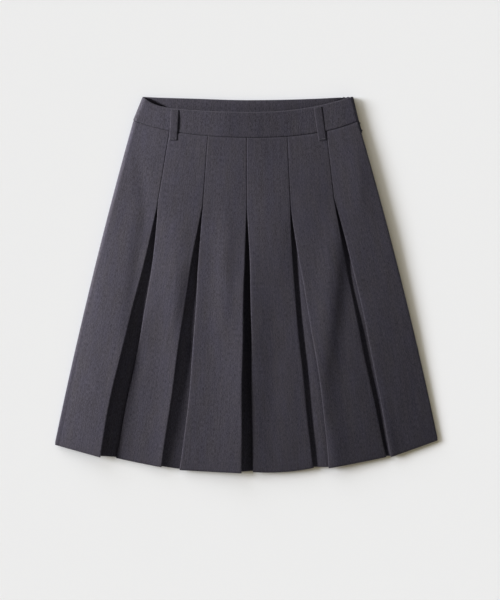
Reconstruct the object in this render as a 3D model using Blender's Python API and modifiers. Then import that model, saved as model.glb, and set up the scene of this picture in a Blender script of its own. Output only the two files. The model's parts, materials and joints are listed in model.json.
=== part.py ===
"""Pleated midi skirt, laid flat on a table with its front up.

Metres, +Z up. The table is the plane z = 0, the waist points to +Y and the hem to -Y, and the
origin is under the middle of the skirt's box. Left and right are as seen from above.

Every piece of cloth is an open surface through the middle of its layer, with one row of points
for each section, and a Solidify modifier gives it its wall. The front and the back are each one
length of cloth folded into five inverted box pleats, which are stitched shut below the waist
and open towards the hem.
"""

import math
from collections import namedtuple

import bpy
import numpy as np

# Cloth and seams
CLOTH = 0.0011              # one layer of skirt cloth
BAND = 0.0025               # waistband: two layers with a stiffener
LOOP = 0.0015               # belt loop strip, folded and stitched flat
TAPE = 0.0010               # zip tape
SEAM_GAP = 0.0003           # left between two pieces that are sewn together
ROUND_GAP = 0.0007          # left between pieces that wrap round the side on each other
FOLD_RADIUS = 0.0008        # middle of the cloth round a pleat's fold
LAYER = 2 * FOLD_RADIUS     # from one folded layer to the next

# Outline of the skirt below the waistband: each side runs from the waist seam to the hem
WAIST_LEFT = -0.1865
WAIST_RIGHT = 0.1835
HEM_LEFT = -0.3156
HEM_RIGHT = 0.3156
HEM_LEFT_Y = -0.2640
HEM_RIGHT_Y = -0.2570
SIDE_BOW = 0.0065           # how far a side bulges from a straight line
BACK_HEM_RISE = 0.0030      # the back hem lies this far inside the front hem
UNDERLAY_RISE = 0.0018      # the hem of a pleat's underlay, above the hem of its panels

# Waistband: heights of its seams and edges at the middle, and their rise to the sides
FRONT_SEAM_Y = 0.2436
FRONT_SEAM_RISE = 0.0249
BACK_SEAM_Y = 0.2604
BACK_SEAM_RISE = 0.0081
FRONT_TOP_Y = 0.2855
FRONT_TOP_RISE = 0.0240
FRONT_TOP_POWER_LEFT = 4.0
FRONT_TOP_POWER_RIGHT = 2.4
BACK_TOP_Y = 0.3043
BACK_TOP_RISE = 0.0055
TOP_LEFT = -0.1715
TOP_RIGHT = 0.1725

# Heights above the table
SEAM_Z_WAIST = 0.0080       # side seam
SEAM_Z_HEM = 0.0052
BAND_FRONT_Z = 0.0148       # middle of the waistband
BAND_BACK_Z = LOOP + SEAM_GAP + BAND / 2
SIDE_RADIUS = 0.0110        # how far in from the side the cloth has turned flat
UPRIGHT = 0.0008            # upright stretch of cloth at the side seam

# Pleats: the fold edges of each, in x, at the waist, at the end of its stitching, half way
# from there to the hem and at the hem, and the height of its two corners at the hem
SLIT = 0.0005               # between the two folds where they are stitched together
RETURN_WAIST = 0.0220       # how deep each fold goes back under its panel
RETURN_HEM = 0.0290
Pleat = namedtuple("Pleat", "waist release mid_left mid_right hem_left hem_right "
                            "hem_left_y hem_right_y")
FRONT_PLEATS = (
    #     waist   release  mid left mid right hem left hem right hem left y  right y
    Pleat(-0.1270, -0.1460, -0.2000, -0.1747, -0.2407, -0.2154, -0.2835, -0.2850),
    Pleat(-0.0640, -0.0728, -0.1113, -0.0894, -0.1428, -0.1098, -0.3000, -0.3048),
    Pleat(0.0000, -0.0002, -0.0075, 0.0067, -0.0095, 0.0131, -0.3102, -0.3084),
    Pleat(0.0670, 0.0722, 0.0834, 0.1080, 0.1096, 0.1352, -0.3013, -0.3015),
    Pleat(0.1320, 0.1476, 0.1844, 0.1980, 0.2279, 0.2390, -0.2833, -0.2841),
)
BACK_PLEATS = tuple(
    Pleat(-p.waist, -p.release, -p.mid_right, -p.mid_left, -p.hem_right, -p.hem_left,
          p.hem_right_y, p.hem_left_y)
    for p in reversed(FRONT_PLEATS))

# Sections of the skirt, from the waist seam (0) to the hem (1): the heights of the front's
# panels near the side and at the middle, of its underlays, how much a front panel is crowned,
# and the heights of the back's panels and underlays
Section = namedtuple("Section", "place side middle underlay crown back back_underlay")
SECTIONS = (
    #       place   side    middle  underlay  crown   back     back underlay
    Section(0.000, 0.0150, 0.0150, 0.0118, 0.0000, 0.00235, 0.00555),
    Section(0.035, 0.0150, 0.0150, 0.0118, 0.0000, 0.00235, 0.00555),
    Section(0.100, 0.0150, 0.0150, 0.0118, 0.0000, 0.00055, 0.00375),
    Section(0.210, 0.0148, 0.0150, 0.0117, 0.0003, 0.00055, 0.00375),
    Section(0.300, 0.0142, 0.0150, 0.0106, 0.0008, 0.00055, 0.00375),
    Section(0.450, 0.0132, 0.0150, 0.0090, 0.0016, 0.00055, 0.00375),
    Section(0.620, 0.0122, 0.0148, 0.0074, 0.0022, 0.00055, 0.00375),
    Section(0.800, 0.0112, 0.0144, 0.0062, 0.0026, 0.00055, 0.00375),
    Section(1.000, 0.0100, 0.0140, 0.0054, 0.0030, 0.00055, 0.00375),
)
RELEASE_PLACE = 0.21        # the section where the pleats' stitching ends

# Belt loops: the middle of the top end and of the bottom end of each front loop
LOOP_WIDTH = 0.0128
LOOP_STAND = 0.0014         # how far a loop bows away from the waistband
Loop = namedtuple("Loop", "name top_x top_y bottom_x bottom_y")
FRONT_LOOPS = (
    Loop("belt_loop_front_left", -0.1178, 0.2885, -0.1207, 0.2400),
    Loop("belt_loop_front_right", 0.1172, 0.2935, 0.1249, 0.2378),
)
BACK_LOOPS = (
    Loop("belt_loop_side_left", -0.1560, 0.3070, -0.1600, 0.2530),
    Loop("belt_loop_back", 0.0000, 0.3035, 0.0000, 0.2490),
)
SIDE_LOOP_TOP = 0.98        # where it starts on the waistband: 0 the seam, 1 the top edge
SIDE_LOOP_DROP = 0.018      # how far it reaches below the waist seam

# Closed concealed zip, inside the right-hand side seam
ZIP_TOP = 0.90              # where it starts on the waistband
ZIP_DROP = 0.150            # how far it reaches below the waist seam

COLLECTION = "pleated_skirt"


def blend(start, end, share):
    """Straight-line value between start and end."""
    return start + (end - start) * share


def through_three(start, middle, end, share):
    """Value at share of the parabola through start at 0, middle at a half and end at 1."""
    return (start * (1 - share) * (1 - 2 * share) + 4 * middle * share * (1 - share)
            + end * share * (2 * share - 1))


def side_x(place):
    """The x of the left and the right side at a place from the waist seam to the hem."""
    bow = 4 * place * (1 - place) * SIDE_BOW
    return blend(WAIST_LEFT, HEM_LEFT, place) - bow, blend(WAIST_RIGHT, HEM_RIGHT, place) + bow


def side_seam_z(place):
    return blend(SEAM_Z_WAIST, SEAM_Z_HEM, place)


def fold_edges(pleat, place):
    """The x of a pleat's left and right fold edge: a slit while stitched, then opening."""
    if place <= RELEASE_PLACE:
        seam = blend(pleat.waist, pleat.release, place / RELEASE_PLACE)
        return seam - SLIT / 2, seam + SLIT / 2
    share = (place - RELEASE_PLACE) / (1 - RELEASE_PLACE)
    left = through_three(pleat.release - SLIT / 2, pleat.mid_left, pleat.hem_left, share)
    right = through_three(pleat.release + SLIT / 2, pleat.mid_right, pleat.hem_right, share)
    return left, right


def lines_x(pleats, place):
    """The x of the left side, every fold edge and the right side, from left to right."""
    left, right = side_x(place)
    folds = [edge for pleat in pleats for edge in fold_edges(pleat, place)]
    return np.array([left, *folds, right])


def row_y(x, pleats, place, seam_y, rise):
    """The y of points at x on one section: between the waist seam and the hem, line by line."""
    count = np.arange(2 * len(pleats) + 2)
    line = np.interp(x, lines_x(pleats, place), count)
    top = seam_y(np.interp(line, count, lines_x(pleats, 0.0))) - SEAM_GAP / 2
    corners = [y for pleat in pleats for y in (pleat.hem_left_y, pleat.hem_right_y)]
    bottom = np.interp(line, count, [HEM_LEFT_Y, *corners, HEM_RIGHT_Y]) + rise
    return blend(top, bottom, place)


def front_seam_y(x):
    return FRONT_SEAM_Y + FRONT_SEAM_RISE * (x / WAIST_LEFT) ** 2


def back_seam_y(x):
    return BACK_SEAM_Y + BACK_SEAM_RISE * (x / WAIST_LEFT) ** 2


def front_top_y(share):
    """The waistband's front edge dips in the middle; share is -1 at the left, 1 at the right."""
    power = np.where(share < 0, FRONT_TOP_POWER_LEFT, FRONT_TOP_POWER_RIGHT)
    return FRONT_TOP_Y + FRONT_TOP_RISE * np.abs(share) ** power


def back_top_y(share):
    return BACK_TOP_Y + BACK_TOP_RISE * share ** 2


def side_turn(edge, outward, seam_z, flat_z, up):
    """Cloth from the side seam to the flat: an upright stretch, then a quarter of an ellipse.

    edge is the x of the middle of the cloth at the seam, outward is -1 at the left and 1 at the
    right, and up is 1 for the front and -1 for the back.
    """
    start_z = seam_z + up * SEAM_GAP / 2
    bend_z = start_z + up * UPRIGHT
    angles = np.radians([0.0, 30.0, 60.0, 90.0])
    x = edge - outward * SIDE_RADIUS * (1 - np.cos(angles))
    z = blend(bend_z, flat_z, np.sin(angles))
    return np.concatenate([[edge], x]), np.concatenate([[start_z], z])


def fold(centre_x, centre_z, first, last, up):
    """Half a turn of cloth round a pleat's fold, between two angles in degrees."""
    angles = np.radians(np.linspace(first, last, 4))
    return (centre_x + FOLD_RADIUS * np.cos(angles),
            centre_z + up * FOLD_RADIUS * np.sin(angles))


def pleat_points(pleat, place, face_z, underlay_z, up):
    """One box pleat from its left panel to its right panel, through the underlay beneath."""
    left, right = fold_edges(pleat, place)
    depth = blend(RETURN_WAIST, RETURN_HEM, place)
    inset = CLOTH / 2 + FOLD_RADIUS
    under_centre = underlay_z + up * FOLD_RADIUS
    left_centre = face_z(left) - up * FOLD_RADIUS
    right_centre = face_z(right) - up * FOLD_RADIUS
    under_rise = np.full(9, UNDERLAY_RISE * place)
    parts = [
        fold(left - inset, left_centre, 90, -90, up),
        fold(left - depth, under_centre, 90, 270, up),
        ([(left + right) / 2], [underlay_z]),
        fold(right + depth, under_centre, -90, 90, up),
        fold(right + inset, right_centre, 270, 90, up),
    ]
    x = np.concatenate([part[0] for part in parts])
    z = np.concatenate([part[1] for part in parts])
    rise = np.concatenate([np.zeros(4), under_rise, np.zeros(4)])
    return x, z, rise


def panel_points(x_start, z_start, x_end, z_end, count, crown):
    """Points inside a panel, between its two ends, lifted by a parabola of height crown."""
    share = np.arange(1, count + 1) / (count + 1)
    z = blend(z_start, z_end, share) + 4 * crown * share * (1 - share)
    return blend(x_start, x_end, share), z


def skirt_section(section, pleats, up):
    """One row of the front (up 1) or the back (up -1), from the left side to the right."""
    left, right = side_x(section.place)
    seam_z = side_seam_z(section.place)
    if up > 0:
        underlay_z = section.underlay
        crown = section.crown
        side_z = section.side
        middle_z = section.middle
    else:
        underlay_z = section.back_underlay
        crown = 0.0
        side_z = section.back
        middle_z = section.back

    def face_z(x):
        return blend(middle_z, side_z, abs(x / right) ** 3)

    parts = []
    x, z = side_turn(left + CLOTH / 2, -1, seam_z, face_z(left), up)
    parts.append((x, z, np.zeros(len(x))))
    for number, pleat in enumerate(pleats):
        folded = pleat_points(pleat, section.place, face_z, underlay_z, up)
        inner = 2 if number == 0 else 3
        x, z = panel_points(parts[-1][0][-1], parts[-1][1][-1], folded[0][0], folded[1][0],
                            inner, crown)
        parts.append((x, z, np.zeros(inner)))
        parts.append(folded)
    turn_x, turn_z = side_turn(right - CLOTH / 2, 1, seam_z, face_z(right), up)
    x, z = panel_points(parts[-1][0][-1], parts[-1][1][-1], turn_x[-1], turn_z[-1], 2, crown)
    parts.append((x, z, np.zeros(2)))
    parts.append((turn_x[::-1], turn_z[::-1], np.zeros(len(turn_x))))
    return tuple(np.concatenate([part[column] for part in parts]) for column in range(3))


def skirt_rows(pleats, up):
    """All sections of the front or the back, as an array of rows, columns and x, y, z."""
    seam_y = front_seam_y if up > 0 else back_seam_y
    hem_rise = 0.0 if up > 0 else BACK_HEM_RISE
    rows = []
    for section in SECTIONS:
        x, z, rise = skirt_section(section, pleats, up)
        y = row_y(x, pleats, section.place, seam_y, hem_rise) + rise
        rows.append(np.column_stack([x, y, z]))
    return np.array(rows)


def band_rows(up):
    """The front (up 1) or back (up -1) waistband, from its seam (0) to its top edge (1)."""
    seam_y = front_seam_y if up > 0 else back_seam_y
    top_y = front_top_y if up > 0 else back_top_y
    flat_z = BAND_FRONT_Z if up > 0 else BAND_BACK_Z
    rows = []
    for height in (0.0, 0.5, 1.0):
        left = blend(WAIST_LEFT, TOP_LEFT, height) + BAND / 2
        right = blend(WAIST_RIGHT, TOP_RIGHT, height) - BAND / 2
        left_x, left_z = side_turn(left, -1, SEAM_Z_WAIST, flat_z, up)
        right_x, right_z = side_turn(right, 1, SEAM_Z_WAIST, flat_z, up)
        inner = blend(left_x[-1], right_x[-1], np.arange(1, 12) / 12)
        x = np.concatenate([left_x, inner, right_x[::-1]])
        z = np.concatenate([left_z, np.full(len(inner), flat_z), right_z[::-1]])
        share = blend(-1.0, 1.0, (x - x[0]) / (x[-1] - x[0]))
        low = seam_y(blend(WAIST_LEFT, WAIST_RIGHT, (share + 1) / 2)) + SEAM_GAP / 2
        rows.append(np.column_stack([x, blend(low, top_y(share), height), z]))
    return np.array(rows)


def strip_rows(loop, heights):
    """A straight strip of LOOP_WIDTH between its two ends, at the heights given for its rows."""
    start = np.array([loop.top_x, loop.top_y])
    end = np.array([loop.bottom_x, loop.bottom_y])
    along = (end - start) / np.linalg.norm(end - start)
    across = np.array([-along[1], along[0]]) * LOOP_WIDTH / 2
    rows = []
    for number, height in enumerate(heights):
        middle = blend(start, end, number / (len(heights) - 1))
        rows.append([(*point, height) for point in (middle - across, middle, middle + across)])
    return np.array(rows)


def front_loop_rows(loop):
    """A front belt loop: both ends lie on the cloth and the middle bows away from the band."""
    top_z = BAND_FRONT_Z + BAND / 2 + SEAM_GAP + LOOP / 2
    bottom_z = SECTIONS[0].middle + CLOTH / 2 + SEAM_GAP + LOOP / 2
    share = np.linspace(0.0, 1.0, 9)
    bow = LOOP_STAND * np.sin(math.pi * share) ** 0.5
    return strip_rows(loop, blend(top_z, bottom_z, np.clip(share * 5 - 4, 0, 1)) + bow)


def back_loop_rows(loop):
    """A back belt loop is pressed flat between the table and the waistband."""
    return strip_rows(loop, np.full(3, LOOP / 2))


def side_line(height):
    """The right side's x and y at a height on the band (0 to 1), or below its seam in metres."""
    seam_y = front_seam_y(WAIST_RIGHT)
    if height >= 0:
        return blend(WAIST_RIGHT, TOP_RIGHT, height), blend(seam_y, back_top_y(1.0), height)
    place = -height / (seam_y - HEM_RIGHT_Y)
    return side_x(place)[1], seam_y + height


def right_side_rows(heights, offset, front_degrees, back_degrees):
    """A strip round the right-hand side: the side's own turn moved out (or in) by offset."""
    front_angles = np.radians(front_degrees)
    back_angles = np.radians(back_degrees)
    reach = SIDE_RADIUS + offset
    front_z = SEAM_Z_WAIST + UPRIGHT
    back_z = SEAM_Z_WAIST - UPRIGHT
    front_rise = BAND_FRONT_Z + offset - front_z
    back_rise = back_z - BAND_BACK_Z + offset
    out = reach * np.cos(np.concatenate([front_angles, back_angles]))
    z = np.concatenate([front_z + front_rise * np.sin(front_angles),
                        back_z - back_rise * np.sin(back_angles)])
    rows = []
    for height in heights:
        edge, y = side_line(height)
        rows.append(np.column_stack([edge - BAND / 2 - SIDE_RADIUS + out, np.full(len(z), y), z]))
    return np.array(rows)


def side_loop_rows():
    """The right-hand loop lies on the round of the side, from the front just past the seam."""
    heights = (SIDE_LOOP_TOP, 0.7, 0.35, 0.0, -SIDE_LOOP_DROP / 2, -SIDE_LOOP_DROP)
    outward = BAND / 2 + ROUND_GAP + LOOP / 2
    return right_side_rows(heights, outward, (88, 66, 44, 22, 0), (0, 12))


def zip_rows():
    """The closed zip's two tapes lie inside the side seam, on the front and on the back."""
    heights = (ZIP_TOP, 0.5, 0.0, -ZIP_DROP / 3, -2 * ZIP_DROP / 3, -ZIP_DROP)
    inward = BAND / 2 + ROUND_GAP + TAPE / 2
    return right_side_rows(heights, -inward, (80, 54, 28, 0), (0, 28, 54, 80))


def new_material(name, colour, roughness):
    material = bpy.data.materials.new(name)
    material.use_nodes = True
    shader = material.node_tree.nodes["Principled BSDF"]
    shader.inputs["Base Color"].default_value = (*colour, 1.0)
    shader.inputs["Roughness"].default_value = roughness
    shader.inputs["Metallic"].default_value = 0.0
    return material


def new_sheet(name, rows, thickness, material):
    """A grid of points as an open surface, thickened to both sides by Solidify."""
    down, across = rows.shape[:2]
    number = np.arange(down * across).reshape(down, across)
    faces = np.stack([number[:-1, :-1], number[1:, :-1], number[1:, 1:], number[:-1, 1:]], axis=-1)
    mesh = bpy.data.meshes.new(name)
    mesh.from_pydata(rows.reshape(-1, 3).tolist(), [], faces.reshape(-1, 4).tolist())
    mesh.materials.append(material)
    mesh.shade_smooth()
    mesh.set_sharp_from_angle(angle=math.radians(40))
    sheet = bpy.data.objects.new(name, mesh)
    bpy.data.collections[COLLECTION].objects.link(sheet)
    wall = sheet.modifiers.new("wall", "SOLIDIFY")
    wall.thickness = thickness
    wall.offset = 0.0
    wall.use_even_offset = True
    wall.use_quality_normals = True
    return sheet


def build():
    for old in list(bpy.data.objects):
        bpy.data.objects.remove(old)
    collection = bpy.data.collections.new(COLLECTION)
    bpy.context.scene.collection.children.link(collection)

    suiting = (0.058, 0.052, 0.065)
    front_cloth = new_material("front_cloth", suiting, 0.85)
    back_cloth = new_material("back_cloth", suiting, 0.85)
    band_cloth = new_material("waistband_cloth", (0.062, 0.056, 0.069), 0.85)
    loop_cloth = new_material("loop_cloth", (0.055, 0.050, 0.062), 0.85)
    zip_tape = new_material("zip_tape", (0.030, 0.028, 0.034), 0.6)

    new_sheet("skirt_front", skirt_rows(FRONT_PLEATS, 1), CLOTH, front_cloth)
    new_sheet("skirt_back", skirt_rows(BACK_PLEATS, -1), CLOTH, back_cloth)
    new_sheet("waistband_front", band_rows(1), BAND, band_cloth)
    new_sheet("waistband_back", band_rows(-1), BAND, band_cloth)
    for loop in FRONT_LOOPS:
        new_sheet(loop.name, front_loop_rows(loop), LOOP, loop_cloth)
    for loop in BACK_LOOPS:
        new_sheet(loop.name, back_loop_rows(loop), LOOP, loop_cloth)
    new_sheet("belt_loop_side_right", side_loop_rows(), LOOP, loop_cloth)
    new_sheet("side_zip", zip_rows(), TAPE, zip_tape)


build()
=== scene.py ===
"""Looks of a pleated midi skirt that lies flat on a table with its front up.

Metres, +Z up, the table is z = 0, the waist points to +Y and the hem to -Y. A place runs from 0 at
the waist seam to 1 at the hem. Left and right are as seen from above.
"""

import json
import bpy
import numpy as np
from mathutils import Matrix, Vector

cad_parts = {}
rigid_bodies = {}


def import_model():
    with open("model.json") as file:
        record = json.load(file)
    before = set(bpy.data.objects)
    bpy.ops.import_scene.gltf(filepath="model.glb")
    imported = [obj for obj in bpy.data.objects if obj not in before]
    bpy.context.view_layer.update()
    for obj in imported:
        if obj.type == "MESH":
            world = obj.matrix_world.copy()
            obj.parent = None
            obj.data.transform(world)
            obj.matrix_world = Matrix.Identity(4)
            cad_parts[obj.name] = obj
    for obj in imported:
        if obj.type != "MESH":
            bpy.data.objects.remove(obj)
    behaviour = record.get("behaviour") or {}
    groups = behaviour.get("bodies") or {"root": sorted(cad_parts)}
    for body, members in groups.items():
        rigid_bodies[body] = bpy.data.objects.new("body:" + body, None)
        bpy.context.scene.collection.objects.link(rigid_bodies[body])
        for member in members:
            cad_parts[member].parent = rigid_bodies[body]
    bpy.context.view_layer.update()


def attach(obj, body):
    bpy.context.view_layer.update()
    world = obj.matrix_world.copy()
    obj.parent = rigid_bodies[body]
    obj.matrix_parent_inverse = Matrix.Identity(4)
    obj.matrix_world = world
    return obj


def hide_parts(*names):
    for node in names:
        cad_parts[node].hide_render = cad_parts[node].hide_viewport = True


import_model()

# ---------------------------------------------------------------------------------------------
# Front of the skirt: one length of charcoal wool-type suiting, folded into five inverted box
# pleats. Each pleat is stitched shut below the waistband, and from there it opens to the hem,
# where the cloth is turned up once. Its sides are sewn to the back.

CLOTH = 0.0010              # one layer of cloth
HEM_DEPTH = 0.030           # how far the hem is turned up inside
HEM_EXTRA = 0.0005          # what the turned-up layer adds
SEAM_GAP = 0.0003           # between two pieces that are sewn together
FOLD_RADIUS = (0.00035, 0.0007)     # middle of the cloth round a fold: stitched, and free
SIDE_TURN = (0.0060, 0.0018)        # how far in the cloth has turned flat, left and right side
UPRIGHT = 0.0008            # upright stretch of cloth at the side seam
WAIST_LEFT, WAIST_RIGHT = -0.1865, 0.1840
HEM_LEFT, HEM_RIGHT = -0.3156, 0.3148
HEM_LEFT_Y, HEM_RIGHT_Y = -0.2633, -0.2560
SIDE_BOW = (0.0051, 0.0058)         # how far the left and right side bulge from a straight line
BACK_HEM_RISE = 0.0030      # the back hem lies this far inside the front hem
UNDERLAY_RISE = 0.0018      # the hem of a pleat's underlay, above the hem of its panels
SEAM_Z = (0.0080, 0.0052)   # height of the side seam at the waist and at the hem
SLIT = 0.0002               # between a pleat's two folds where they are stitched together
RETURN_DEPTH = (0.0220, 0.0290)     # how deep a fold goes back under its panel, waist and hem
FRONT_SEAM_Y, FRONT_SEAM_RISE = 0.2417, 0.0185
FRONT_SEAM_ENDS, FRONT_SEAM_LEAN = 0.0098, 0.0018   # its ends rise more, and it dips to the right
BACK_SEAM_Y, BACK_SEAM_RISE = 0.2604, 0.0069
RELEASE_PLACE = 0.210       # where the drafted fold lines start to part
PARTING = 0.03              # on both sides of the stitching's end, the folds part by degrees
FOLD_SWAY = (0.0004, 23, 60)        # open folds sway: how far, how often, and how unlike each other
SWAY_STARTS = (0.25, 0.45)

# Each pleat: its fold lines' x at the waist and at the release place, the left and then the right
# line's x a third and two thirds of the way on and at the hem, the y of its two corners at the
# hem, and where its stitching really ends
PLEATS = (
    (-0.1266, -0.1452, -0.1773, -0.2130, -0.2400, -0.1608, -0.1870, -0.2150, -0.2835, -0.2850, 0.232),
    (-0.0636, -0.0722, -0.0985, -0.1192, -0.1400, -0.0825, -0.0928, -0.1105, -0.3000, -0.3048, 0.203),
    (0.0003, 0.0003, -0.0044, -0.0070, -0.0078, 0.0068, 0.0082, 0.0108, -0.3096, -0.3080, 0.199),
    (0.0672, 0.0722, 0.0800, 0.0942, 0.1090, 0.0960, 0.1200, 0.1345, -0.3013, -0.3015, 0.209),
    (0.1316, 0.1440, 0.1708, 0.1997, 0.2305, 0.1815, 0.2108, 0.2375, -0.2833, -0.2835, 0.215),
)
HEM_BOWS = (0.0, -0.0004, -0.0002, -0.0034, -0.0006, -0.0002)    # each panel's hem sags this far
BACK_PLEATS = tuple((-p[0], -p[1], -p[5], -p[6], -p[7], -p[2], -p[3], -p[4], p[9], p[8], p[10])
                    for p in reversed(PLEATS))

# Heights of the cloth at these places, in millimetres: first each panel's left and right edge
HEIGHT_PLACES = (0.00, 0.10, 0.21, 0.32, 0.46, 0.62, 0.80, 1.00)
PANEL_EDGES = (
    ((14.6, 14.8, 14.6, 14.0, 12.6, 11.0, 9.2, 7.0),
     (16.2, 15.7, 15.2, 16.6, 18.5, 19.6, 20.0, 20.2)),
    ((16.2, 15.7, 15.0, 13.9, 11.3, 10.2, 9.0, 8.2),
     (17.4, 16.3, 15.4, 16.8, 16.7, 15.3, 14.2, 13.3)),
    ((17.4, 16.2, 15.1, 14.4, 12.8, 11.4, 10.4, 9.9),
     (16.6, 16.3, 15.5, 17.1, 19.0, 19.9, 19.9, 19.4)),
    ((16.6, 16.1, 15.1, 15.5, 15.8, 15.0, 13.2, 12.0),
     (13.9, 15.6, 15.6, 15.0, 13.3, 12.8, 12.3, 11.5)),
    ((13.9, 15.4, 15.1, 14.2, 14.0, 13.9, 13.6, 13.3),
     (13.8, 15.4, 15.5, 14.0, 12.8, 12.2, 10.3, 8.9)),
    ((14.1, 15.2, 15.1, 14.4, 13.3, 12.4, 11.2, 10.2),
     (16.7, 17.3, 17.3, 16.9, 15.2, 12.8, 9.8, 7.4)),
)
# Then each pleat's underlay, along its left and its right fold
UNDERLAYS = (
    ((11.2, 11.4, 11.4, 10.8, 9.8, 8.6, 7.6, 7.0), (11.2, 11.4, 11.4, 10.9, 9.6, 8.0, 6.6, 6.0)),
    ((11.6, 11.6, 11.4, 10.3, 9.3, 9.2, 9.7, 9.9), (11.6, 11.6, 11.6, 10.9, 9.3, 7.0, 5.6, 5.3)),
    ((11.6, 11.6, 11.4, 10.0, 8.0, 6.8, 6.2, 5.8), (11.6, 11.6, 11.4, 10.0, 8.0, 6.8, 6.2, 5.8)),
    ((9.8, 11.2, 11.2, 9.9, 9.0, 8.4, 8.0, 7.8), (9.8, 11.2, 11.5, 11.8, 11.6, 11.4, 11.0, 10.7)),
    ((9.6, 11.0, 11.4, 10.6, 9.2, 8.2, 6.6, 5.4), (9.6, 11.0, 11.6, 11.7, 10.4, 9.3, 7.8, 7.2)),
)
# And how much higher each panel's middle is than a straight line between its edges
CROWNS = (
    (0.0, 0.0, -0.2, 0.2, 0.5, 0.5, 0.4, 0.3),
    (0.0, 0.2, 0.6, 1.1, 0.7, -1.7, -2.6, -2.5),
    (0.0, 0.2, 0.4, 0.5, -0.5, -2.0, -2.3, -1.6),
    (0.0, 0.2, 0.5, 0.9, 0.2, -0.8, -1.0, -0.2),
    (0.0, 0.2, 0.5, 0.8, 0.4, 0.0, 0.5, 1.2),
    (0.0, 0.2, 0.5, 0.5, 0.2, 0.0, 0.0, 0.0),
)

# How far, in millimetres, and over what width, in metres, each panel rolls down to its left fold
# and then to its right one
EDGE_ROLLS = (
    (1.1, 0.016, 0.2, 0.005),
    (0.2, 0.005, 0.2, 0.005),
    (0.3, 0.005, 0.2, 0.005),
    (0.4, 0.006, 0.2, 0.005),
    (0.3, 0.005, 0.2, 0.006),
    (0.3, 0.005, 0.0, 0.010),
)

# Main creases, by panel from the left: x and place of both ends, how far each reaches to its
# left and right, and its height (a trough's is negative), in metres
CREASES = (
    (0, -0.177, 0.08, -0.160, 0.36, 0.010, 0.013, -0.0010),
    (0, -0.1650, 0.24, -0.197, 0.70, 0.014, 0.024, -0.0030),
    (0, -0.222, 0.30, -0.262, 0.98, 0.022, 0.020, 0.0005),
    (1, -0.106, 0.24, -0.132, 0.76, 0.016, 0.016, 0.0014),
    (1, -0.0890, 0.38, -0.1090, 0.62, 0.010, 0.010, -0.0022),
    (1, -0.168, 0.55, -0.196, 1.10, 0.010, 0.012, -0.0006),
    (2, -0.056, 0.22, -0.062, 0.72, 0.016, 0.014, -0.0009),
    (2, -0.033, 0.20, -0.034, 0.60, 0.014, 0.010, 0.0011),
    (3, 0.038, 0.30, 0.044, 1.05, 0.018, 0.020, -0.0011),
    (4, 0.157, 0.20, 0.1197, 0.88, 0.026, 0.016, 0.0038),
    (4, 0.170, 0.26, 0.178, 0.62, 0.018, 0.012, -0.0010),
    (4, 0.160, 0.40, 0.160, 1.05, 0.016, 0.014, -0.0008),
    (4, 0.131, 0.76, 0.165, 1.24, 0.013, 0.020, 0.0021),
    (5, 0.222, 0.80, 0.260, 1.20, 0.010, 0.008, 0.0014),
    (5, 0.180, 0.03, 0.190, 0.30, 0.024, 0.012, 0.0011),
)
CREASE_FADE = 0.8           # the lower, the more abruptly a crease begins and ends
# Faint waves of the panels: strength, length, slant, and shift from one panel to the next
WAVE_HEIGHT = 0.00010
WAVES = ((1.0, 0.0085, 9, 1.7), (0.8, 0.0143, -14, 2.9))
PRESSED_WAVES = 0.6         # their share of that height where the cloth is pressed at the waist
FREED = (0.22, 0.50)        # between these places the panels come free of the stitching
LOOSENED = (0.22, 0.45)     # and their folds grow rounder


def blend(start, end, share):
    """Straight-line value between start and end."""
    return start + (end - start) * share


def soft_step(start, end, value):
    """0 below start, 1 above end, and a smooth S between them: 3s^2 - 2s^3."""
    share = np.clip((value - start) / (end - start), 0.0, 1.0)
    return share * share * (3 - 2 * share)


def through_four(values, share):
    """The cubic through four values at 0, a third, two thirds and 1."""
    third, two_thirds = share - 1 / 3, share - 2 / 3
    rest = share - 1
    return (4.5 * (values[3] * share * third * two_thirds - values[0] * third * two_thirds * rest)
            + 13.5 * (values[1] * share * two_thirds * rest - values[2] * share * third * rest))


def table_height(millimetres, place):
    """Metres at a place: a cubic between two rows of a table, with the mean slope at each."""
    knots = np.array(HEIGHT_PLACES)
    values = np.array(millimetres) / 1000
    slopes = np.gradient(values, knots)
    row = np.clip(np.searchsorted(knots, place) - 1, 0, len(knots) - 2)
    step = knots[row + 1] - knots[row]
    s = (place - knots[row]) / step
    return ((2 * s**3 - 3 * s**2 + 1) * values[row] + (s**3 - 2 * s**2 + s) * step * slopes[row]
            + (3 * s**2 - 2 * s**3) * values[row + 1] + (s**3 - s**2) * step * slopes[row + 1])


def side_x(place):
    """The left and the right side: straight lines that bulge by a parabola."""
    bow = 4 * place * (1 - place)
    return (blend(WAIST_LEFT, HEM_LEFT, place) - bow * SIDE_BOW[0],
            blend(WAIST_RIGHT, HEM_RIGHT, place) + bow * SIDE_BOW[1])


def fold_lines(pleat, place):
    """A pleat's two fold lines: straight and together while stitched, then two cubics.

    The cubics start at the drafted release place. Where the real stitching ends lower, the
    two lines stay together until then. A faint sine wave sways their open part.
    """
    waist, release, end = pleat[0], pleat[1], pleat[10]
    seam = blend(waist, release, place / RELEASE_PLACE)
    share = np.clip((place - RELEASE_PLACE) / (1 - RELEASE_PLACE), 0, 1)
    left = through_four((release - SLIT / 2, *pleat[2:5]), share)
    right = through_four((release + SLIT / 2, *pleat[5:8]), share)
    stitched = place <= RELEASE_PLACE
    left = np.where(stitched, seam - SLIT / 2, left)
    right = np.where(stitched, seam + SLIT / 2, right)
    middle = (left + right) / 2
    parted = soft_step(end - PARTING, end + PARTING, place)
    half = np.maximum(SLIT / 2, (right - left) / 2 * parted)
    far, often, unlike = FOLD_SWAY
    sway = far * np.sin(place * often + waist * unlike) * soft_step(*SWAY_STARTS, place)
    return middle - half + sway, middle + half + sway


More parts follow.
